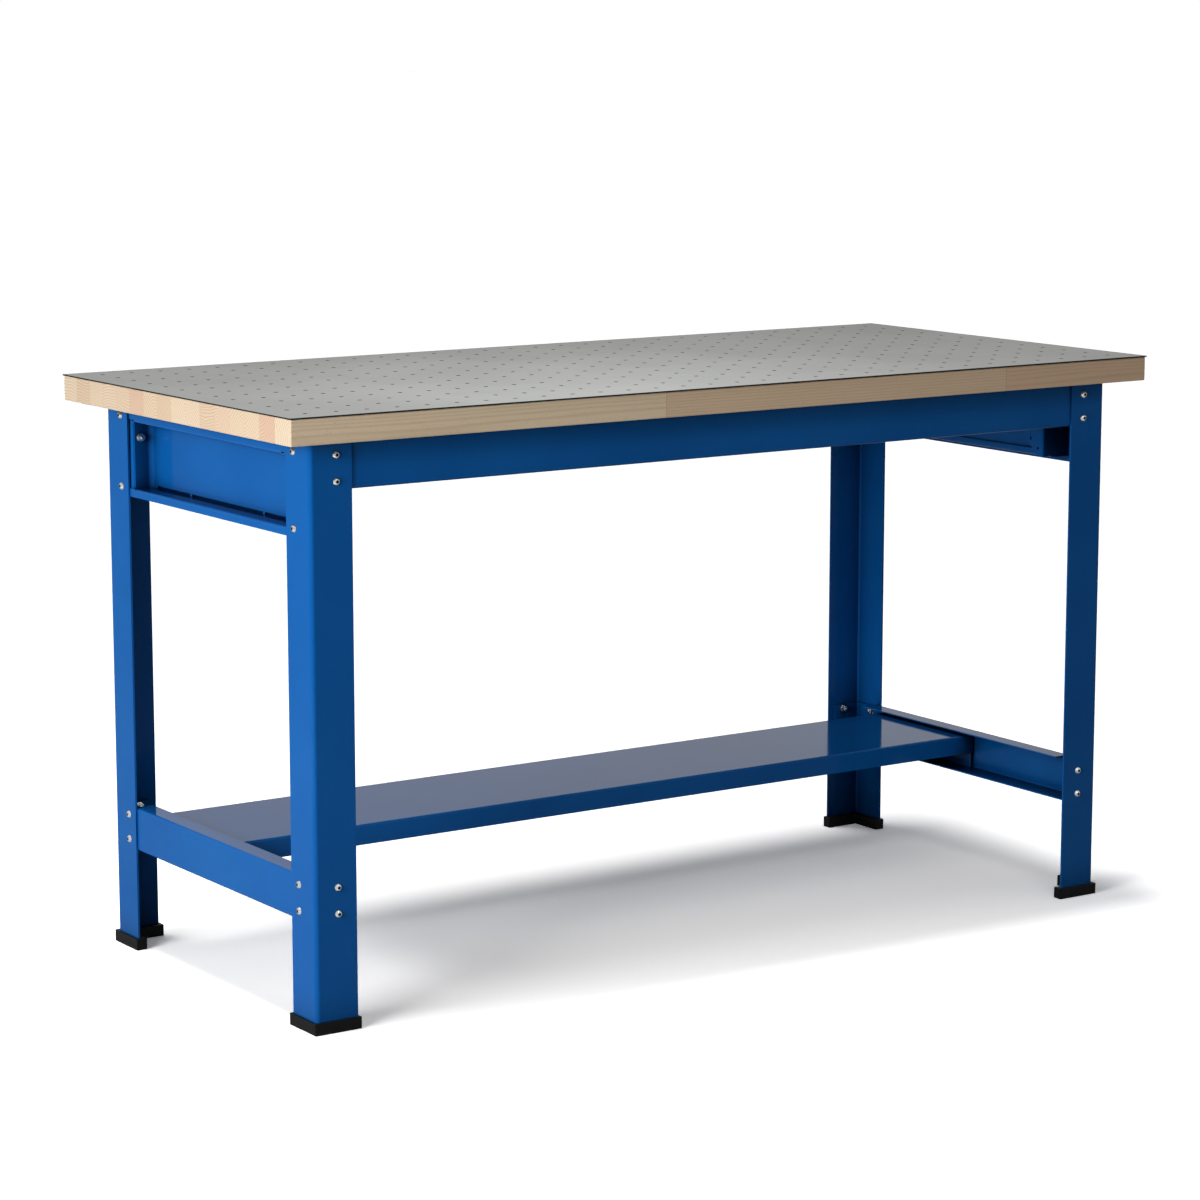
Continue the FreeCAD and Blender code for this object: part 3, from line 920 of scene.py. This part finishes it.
@dataclass
class Turned:
    """Small part built from rings of points round Z, from its first ring to its last.

    Each ring keeps its share of painted shade, in an attribute of the mesh. Edges above the crease are sharp.
    """

    sides: int = 24
    crease: float = math.radians(38.0)
    rings: list[Ring] = field(default_factory=list)
    grime: list[float] = field(default_factory=list)

    def _add(self, ring: Ring, grime: float) -> "Turned":
        """Adds a ring.

        Args:
            ring: its points, as radius and height.
            grime: the share of painted shade on it.

        Returns:
            The part itself.
        """
        self.rings.append(ring)
        self.grime.append(grime)
        return self

    def round(self, radius: float, height: float, grime: float = 0.0) -> "Turned":
        """Adds a round ring."""
        return self._add([(radius, height)] * self.sides, grime)

    def six_sided(
        self, across: float, height: float, cone: float | None = None, slope: float = 0.0, grime: float = 0.0
    ) -> "Turned":
        """Adds a hexagonal ring.

        Args:
            across: the size over its flats.
            height: where the ring lies.
            cone: radius past which the ring bends away, if it does.
            slope: how far it bends for each unit past that radius.
            grime: the share of painted shade on it.

        Returns:
            The part itself.
        """
        ring = []
        sector = math.pi / 3
        for side in range(self.sides):
            turn = 2 * math.pi * side / self.sides
            radius = across / 2 / math.cos(turn % sector - sector / 2)
            past = max(0.0, radius - cone) if cone is not None else 0.0
            ring.append((radius, height + past * slope))
        return self._add(ring, grime)

    def dome(self, base: float, flat: float, height: float, steps: int) -> "Turned":
        """Adds rings up a low round head from its rim.

        Args:
            base: radius of the rim, at height 0.
            flat: radius of the flat on top.
            height: how high the flat lies.
            steps: rings above the rim.

        Returns:
            The part itself.
        """
        sink = (base**2 - flat**2 - height**2) / (2 * height)
        ball = math.hypot(base, sink)
        start = math.atan2(sink, base)
        end = math.atan2(height + sink, flat)
        for step in range(steps + 1):
            angle = start + (end - start) * step / steps
            self.round(ball * math.cos(angle), ball * math.sin(angle) - sink)
        return self

    def mesh(self, name: str, looped: bool) -> Mesh:
        """Skins the rings.

        Args:
            name: the mesh's name.
            looped: whether the last ring meets the first, as in a washer; otherwise both ends are closed.

        Returns:
            The mesh, with its faces outwards.
        """
        work = bmesh.new()
        layer = work.verts.layers.float.new(PAINTED_SHADE)
        turns = [2 * math.pi * side / self.sides for side in range(self.sides)]
        loops = []
        for ring, grime in zip(self.rings, self.grime):
            points = [(r * math.cos(turn), r * math.sin(turn), z) for turn, (r, z) in zip(turns, ring)]
            loops.append([work.verts.new(point) for point in points])
            for corner in loops[-1]:
                corner[layer] = grime
        pairs = list(zip(loops, loops[1:]))
        if looped:
            pairs.append((loops[-1], loops[0]))
        else:
            work.faces.new(loops[0])
            work.faces.new(loops[-1])
        for low, high in pairs:
            for i in range(self.sides):
                j = (i + 1) % self.sides
                work.faces.new((low[i], low[j], high[j], high[i]))
        bmesh.ops.recalc_face_normals(work, faces=work.faces)
        for face in work.faces:
            face.smooth = len(face.verts) == 4
        mesh = bpy.data.meshes.new(name)
        work.to_mesh(mesh)
        work.free()
        mesh.set_sharp_from_angle(angle=self.crease)
        return mesh


@dataclass(frozen=True)
class Bolt:
    """Button head bolt with a socket."""

    radius: float = 3.0 * MM
    stub: float = 2.0 * MM
    tip_inset: float = 0.8 * MM
    tip_height: float = 0.5 * MM
    thread_inset: float = 0.15 * MM
    thread_start: float = 0.7 * MM
    thread_pitch: float = 1.0 * MM
    thread_depth: float = 0.35 * MM
    neck: float = 0.2 * MM
    head_radius: float = 5.75 * MM
    head_flat: float = 2.75 * MM
    head_height: float = 3.3 * MM
    head_steps: int = 6
    seat_inset: float = 0.3 * MM
    rim_height: float = 0.1 * MM
    rim_inset: float = 0.2 * MM
    socket: float = 4.0 * MM
    socket_depth: float = 2.0 * MM
    mouth_width: float = 0.35 * MM
    mouth_depth: float = 0.25 * MM
    # Shares of painted shade at the socket's mouth and on its walls.
    mouth_shade_share: float = 0.6
    wall_shade_share: float = 0.95
    pit_share: float = 0.3
    pit_depth: float = 0.3 * MM

    def mesh(self, length: float, grip: float) -> Mesh:
        """Turns a bolt whose head stands on the origin, with its thread below.

        Args:
            length: how far it reaches below the head.
            grip: thickness of the sheets between head and washer.

        Returns:
            The mesh.
        """
        part = Turned()
        part.round(self.radius - self.tip_inset, -length)
        part.round(self.radius - self.thread_inset, -length + self.tip_height)
        for turn in range(int((length - grip) / self.thread_pitch) - 1):
            height = -length + self.thread_start + turn * self.thread_pitch
            part.round(self.radius - self.thread_depth, height)
            part.round(self.radius, height + self.thread_pitch / 2)
        part.round(self.radius, -self.neck).round(self.radius, 0.0)
        # The seat and socket rings carry painted shade: a contact shadow under the head and a dark socket.
        part.round(self.head_radius - self.seat_inset, 0.0, grime=1.0)
        part.round(self.head_radius, self.rim_height, grime=1.0)
        part.dome(self.head_radius - self.rim_inset, self.head_flat, self.head_height, self.head_steps)
        floor = self.head_height - self.socket_depth
        part.six_sided(self.socket + self.mouth_width, self.head_height, grime=self.mouth_shade_share)
        part.six_sided(self.socket, self.head_height - self.mouth_depth, grime=self.wall_shade_share)
        part.six_sided(self.socket, floor, grime=1.0)
        part.round(self.socket * self.pit_share, floor - self.pit_depth, grime=1.0)
        return part.mesh("bolt", looped=False)


@dataclass(frozen=True)
class Nut:
    """Hexagon nut with chamfered corners and a lead-in at its bore."""

    across: float = 10.0 * MM
    height: float = 5.0 * MM
    bore: float = 3.15 * MM
    lead_in: float = 0.4 * MM
    corner_inset: float = 0.1 * MM
    corner_height: float = 0.05 * MM
    corner_slope: float = 0.5
    sides: int = 36

    def mesh(self) -> Mesh:
        """Turns a nut that lies on the origin.

        Returns:
            The mesh.
        """
        cone = self.across / 2 - self.corner_inset
        part = Turned(self.sides)
        part.round(self.bore, self.lead_in).round(self.bore + self.lead_in, 0.0).round(cone, 0.0)
        part.six_sided(self.across, self.corner_height, cone, self.corner_slope)
        part.six_sided(self.across, self.height - self.corner_height, cone, -self.corner_slope)
        part.round(cone, self.height).round(self.bore + self.lead_in, self.height)
        part.round(self.bore, self.height - self.lead_in)
        return part.mesh("nut", looped=True)


@dataclass(frozen=True)
class Washer:
    """Flat ring with one rolled edge; its section is in radii and heights."""

    height: float = 1.6 * MM
    section: tuple[Pair, ...] = (
        (3.2 * MM, 0.0),
        (6.5 * MM, 0.0),
        (6.5 * MM, 1.2 * MM),
        (6.38 * MM, 1.48 * MM),
        (6.1 * MM, 1.6 * MM),
        (3.35 * MM, 1.6 * MM),
        (3.2 * MM, 1.45 * MM),
    )
    sides: int = 32

    def mesh(self) -> Mesh:
        """Turns a washer that lies on the origin.

        Returns:
            The mesh.
        """
        part = Turned(self.sides)
        for radius, height in self.section:
            part.round(radius, height)
        return part.mesh("washer", looped=True)


@dataclass(frozen=True)
class Screw:
    """Wood screw with a low round head."""

    radius: float = 2.5 * MM
    length: float = 24.0 * MM
    tip_length: float = 6.0 * MM
    tip_radius: float = 0.5 * MM
    pitch: float = 2.2 * MM
    core_share: float = 0.72
    crest_rise: float = 0.9 * MM
    neck_share: float = 0.8
    head_radius: float = 5.0 * MM
    head_flat: float = 2.0 * MM
    head_height: float = 3.0 * MM
    head_steps: int = 4
    socket: float = 3.0 * MM
    socket_depth: float = 1.8 * MM

    def mesh(self) -> Mesh:
        """Turns a screw whose head stands on the origin, with its thread below.

        Returns:
            The mesh.
        """
        part = Turned()
        part.round(self.tip_radius, -self.length)
        for turn in range(int(self.length / self.pitch) - 1):
            height = -self.length + (turn + 0.5) * self.pitch
            taper = min(1.0, (height + self.length) / self.tip_length)
            part.round(self.radius * taper * self.core_share, height)
            part.round(self.radius * taper, height + self.crest_rise)
        part.round(self.radius * self.neck_share, 0.0)
        part.dome(self.head_radius, self.head_flat, self.head_height, self.head_steps)
        floor = self.head_height - self.socket_depth
        part.six_sided(self.socket, self.head_height).six_sided(self.socket, floor)
        return part.mesh("screw", looped=False)


@dataclass(frozen=True)
class Family:
    """Bolts of one kind of joint, with their washers and nuts."""

    name: str
    facing: Facing
    grip: float
    paired: bool = True


@dataclass
class Fasteners(SubAssembly):
    """Bolts, washers, nuts and board screws."""

    finish: Finish = BrightZinc()
    families: tuple[Family, ...] = (
        Family("rail", Facing.SIDE, 5.0 * MM),
        Family("upper_end", Facing.END, 7.0 * MM),
        Family("lower_tab", Facing.SIDE, 5.0 * MM),
        Family("lower_end", Facing.END, 5.0 * MM),
        Family("bracket", Facing.SIDE, 4.0 * MM, paired=False),
    )
    bolt: Bolt = Bolt()
    washer: Washer = Washer()
    nut: Nut = Nut()
    screw: Screw = Screw()
    screws_per_rail: int = 4
    seed: int = 7

    def joint_points(self, family: Family) -> Seats:
        """Where a family's heads sit.

        Args:
            family: the kind of joint.

        Returns:
            Points under the heads, each with the way its head looks.
        """
        low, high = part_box(f"{family.name}_bolts")
        out = family.facing.value
        side = 1 - out
        radius = self.bolt.head_radius
        heights = [high.z - radius, low.z + radius] if family.paired else [high.z - radius]
        points = []
        for *signs, height in product((-1, 1), (-1, 1), heights):
            place = Vector((0.0, 0.0, height))
            place[out] = signs[out] * (high[out] - self.bolt.head_height)
            place[side] = signs[side] * (high[side] - radius)
            way = Vector((0.0, 0.0, 0.0))
            way[out] = signs[out]
            points.append((place, way))
        return points

    def screw_points(self) -> Seats:
        """Where the board screws' heads sit under the rails.

        Returns:
            Points under the heads, each with the way its head looks.
        """
        low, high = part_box("board_screws")
        first = high.x - self.screw.head_radius
        step = 2 * first / (self.screws_per_rail - 1)
        points = []
        for sign, number in product((-1, 1), range(self.screws_per_rail)):
            across = sign * (high.y - self.screw.head_radius)
            place = Vector((first - number * step, across, low.z + self.screw.head_height))
            points.append((place, Vector((0.0, 0.0, -1.0))))
        return points

    @staticmethod
    def setting() -> Kit:
        """Node group that sets one part on each point, turned to face its way.

        Returns:
            The group.
        """
        kit = Kit("fastener_setting")
        given = kit.takes(Part="Object", Seed="Int", Material="Material").outputs
        graph = kit.graph
        way = graph.node("GeometryNodeInputNamedAttribute", {"data_type": "FLOAT_VECTOR"}, {"Name": WAY})
        aligned = graph.node("FunctionNodeAlignRotationToVector", {"axis": "Z"}, {"Vector": way})
        turn = {"Min": 0.0, "Max": 2 * math.pi, "Seed": given["Seed"]}
        angle = graph.node("FunctionNodeRandomValue", {"data_type": "FLOAT"}, turn)
        spin = graph.node("FunctionNodeAxisAngleToRotation", inputs={"Axis": (0.0, 0.0, 1.0), "Angle": angle})
        both = {"Rotation": aligned, "Rotate By": spin}
        turned = graph.node("FunctionNodeRotateRotation", {"rotation_space": "LOCAL"}, both)
        part = graph.node("GeometryNodeObjectInfo", inputs={"Object": given["Part"]}).outputs["Geometry"]
        placed = graph.node(
            "GeometryNodeInstanceOnPoints",
            inputs={"Points": given["Geometry"], "Instance": part, "Rotation": turned},
        )
        kit.ends_in(placed, given["Material"])
        return kit

    def set_out(self, kit: Kit, node: str, part: Mesh, points: Seats) -> None:
        """Makes the piece that stands for a group of fasteners.

        Args:
            kit: the node group that sets them.
            node: the node that the piece stands for.
            part: one fastener's mesh.
            points: where each one goes and the way it looks.
        """
        mesh = bpy.data.meshes.new(node)
        mesh.from_pydata([place for place, _ in points], [], [])
        ways = mesh.attributes.new(WAY, "FLOAT_VECTOR", "POINT")
        ways.data.foreach_set("vector", [number for _, way in points for number in way])
        piece = new_piece(f"{node}_zinc", mesh)
        pattern = new_piece(f"{node}_pattern", part)
        self.seed += 1
        kit.apply(piece, Part=pattern, Seed=self.seed, Material=self.finish.material())
        bpy.data.objects.remove(pattern)
        bpy.data.meshes.remove(part)
        left_over = piece.data.attributes.get(WAY)
        if left_over:
            piece.data.attributes.remove(left_over)
        self.pieces[node] = piece

    def build(self) -> None:
        """Sets out every group of fasteners."""
        kit = self.setting()
        for family in self.families:
            heads = self.joint_points(family)
            seats = [(place - way * family.grip, -way) for place, way in heads]
            nuts = [(place + way * self.washer.height, way) for place, way in seats]
            length = family.grip + self.washer.height + self.nut.height + self.bolt.stub
            self.set_out(kit, f"{family.name}_bolts", self.bolt.mesh(length, family.grip), heads)
            self.set_out(kit, f"{family.name}_washers", self.washer.mesh(), seats)
            self.set_out(kit, f"{family.name}_nuts", self.nut.mesh(), nuts)
        self.set_out(kit, "board_screws", self.screw.mesh(), self.screw_points())


@dataclass(frozen=True)
class Lamp:
    """Soft lamp: a flat panel, or a broad even sky where it has an angle in place of a size."""

    name: str
    place: Point
    aim: Point
    power: float
    size: Pair = (1.0, 1.0)
    angle: float = 0.0
    mirrored: bool = True

    def hang(self) -> None:
        """Puts the lamp in the scene, turned to what it lights."""
        light = bpy.data.lights.new(self.name, "SUN" if self.angle else "AREA")
        light.energy = self.power
        if self.angle:
            light.angle = math.radians(self.angle)
        else:
            light.shape = "RECTANGLE"
            light.size, light.size_y = self.size
        lamp = bpy.data.objects.new(self.name, light)
        lamp.location = self.place
        lamp.rotation_euler = (Vector(self.place) - Vector(self.aim)).to_track_quat("Z", "Y").to_euler()
        lamp.visible_camera = False
        lamp.visible_glossy = self.mirrored
        bpy.context.scene.collection.objects.link(lamp)


@dataclass
class Studio:
    """Camera, light, floor and background."""

    camera_place: Point = (-2.976, -4.359, 1.3806)
    yaw: float = 34.02
    pitch: float = 9.55
    lens: float = 106.06
    sensor: float = 36.0
    floor_reach: float = 60.0
    floor_shade: float = 0.25
    floor_mirrored: float = 0.85
    floor_white: float = 1.6
    floor_glow: float = 0.13
    fill: float = 0.14
    lamps: tuple[Lamp, ...] = (
        Lamp("sky", (-0.6, 0.8, 9.0), (0.0, 0.0, 0.0), 1.38, angle=11.0),
        Lamp("overhead", (-0.2, -0.35, 1.6), (-0.2, -0.34, 0.0), 3.8, (0.4, 0.3)),
        Lamp("soft_box", (-3.1, -0.75, 0.98), (-0.55, -0.1, 0.5), 86.0, (1.8, 1.2), mirrored=False),
        Lamp("front", (-0.7, -3.0, 3.0), (-0.2, -0.3, 0.6), 17.0, (1.5, 1.0)),
    )

    def place_camera(self) -> None:
        """Sets the camera at the photo's place and angle."""
        data = bpy.data.cameras.new("camera")
        data.sensor_width = self.sensor
        data.lens = self.lens
        camera = bpy.data.objects.new("camera", data)
        camera.location = self.camera_place
        camera.rotation_euler = (math.radians(90.0 - self.pitch), 0.0, math.radians(-self.yaw))
        bpy.context.scene.collection.objects.link(camera)
        bpy.context.scene.camera = camera

    @staticmethod
    def seen(graph: Graph) -> tuple[Value, Value]:
        """Masks of the rays that show the background.

        Args:
            graph: the tree of the floor or the world.

        Returns:
            Straight rays from the camera, and rays that come by a mirror or through glass.
        """
        path = graph.node("ShaderNodeLightPath")
        rays = ("Is Camera Ray", "Is Glossy Ray", "Is Transmission Ray")
        straight, mirrored, through = (graph.value(path, ray) for ray in rays)
        return straight, (mirrored + through).ease(0.0, 1.0)

    def hang_background(self) -> None:
        """Makes a world that looks white and gives a plain fill light."""
        world = bpy.data.worlds.new("studio")
        world.use_nodes = True
        bpy.context.scene.world = world
        graph = Graph(world.node_tree)
        straight, mirrored = self.seen(graph)
        strength = (straight + mirrored) * (1.0 - self.fill) + self.fill
        light = graph.node("ShaderNodeBackground", inputs={"Color": (1.0, 1.0, 1.0), "Strength": strength})
        graph.node("ShaderNodeOutputWorld", inputs={"Surface": light})

    def lay_floor(self) -> None:
        """Lays a pale floor that looks white where no shadow falls."""
        reach = self.floor_reach
        mesh = bpy.data.meshes.new("floor")
        corners = [(-reach, -reach, 0), (reach, -reach, 0), (reach, reach, 0), (-reach, reach, 0)]
        mesh.from_pydata(corners, [], [(0, 1, 2, 3)])
        floor = new_piece("floor", mesh)
        material = bpy.data.materials.new("pale_floor")
        material.use_nodes = True
        graph = Graph(material.node_tree)
        straight, mirrored = self.seen(graph)
        tone = graph.mix(mirrored, (self.floor_shade,) * 3, (self.floor_mirrored,) * 3)
        tone = graph.mix(straight, tone, (self.floor_white,) * 3)
        matt = graph.node("ShaderNodeBsdfDiffuse", inputs={"Color": tone})
        shown = graph.mix(straight, (0.0, 0.0, 0.0), (self.floor_glow,) * 3)
        glow = graph.node("ShaderNodeEmission", inputs={"Color": shown, "Strength": 1.0})
        both = graph.node("ShaderNodeAddShader", inputs={0: matt, 1: glow})
        graph.node("ShaderNodeOutputMaterial", inputs={"Surface": both})
        mesh.materials.append(material)

    def build(self) -> None:
        """Sets up the whole studio."""
        bpy.context.scene.view_settings.view_transform = "Standard"
        self.place_camera()
        self.hang_background()
        self.lay_floor()
        for lamp in self.lamps:
            lamp.hang()


def main() -> None:
    """Builds and dresses the bench, then sets up the studio."""
    logging.basicConfig(level=logging.INFO, format="%(name)s %(message)s")
    for assembly in (Worktop(), PaintedFrame(), Boots(), Fasteners()):
        assembly.build()
        assembly.dress()
    Studio().build()


if __name__ == "__main__":
    main()
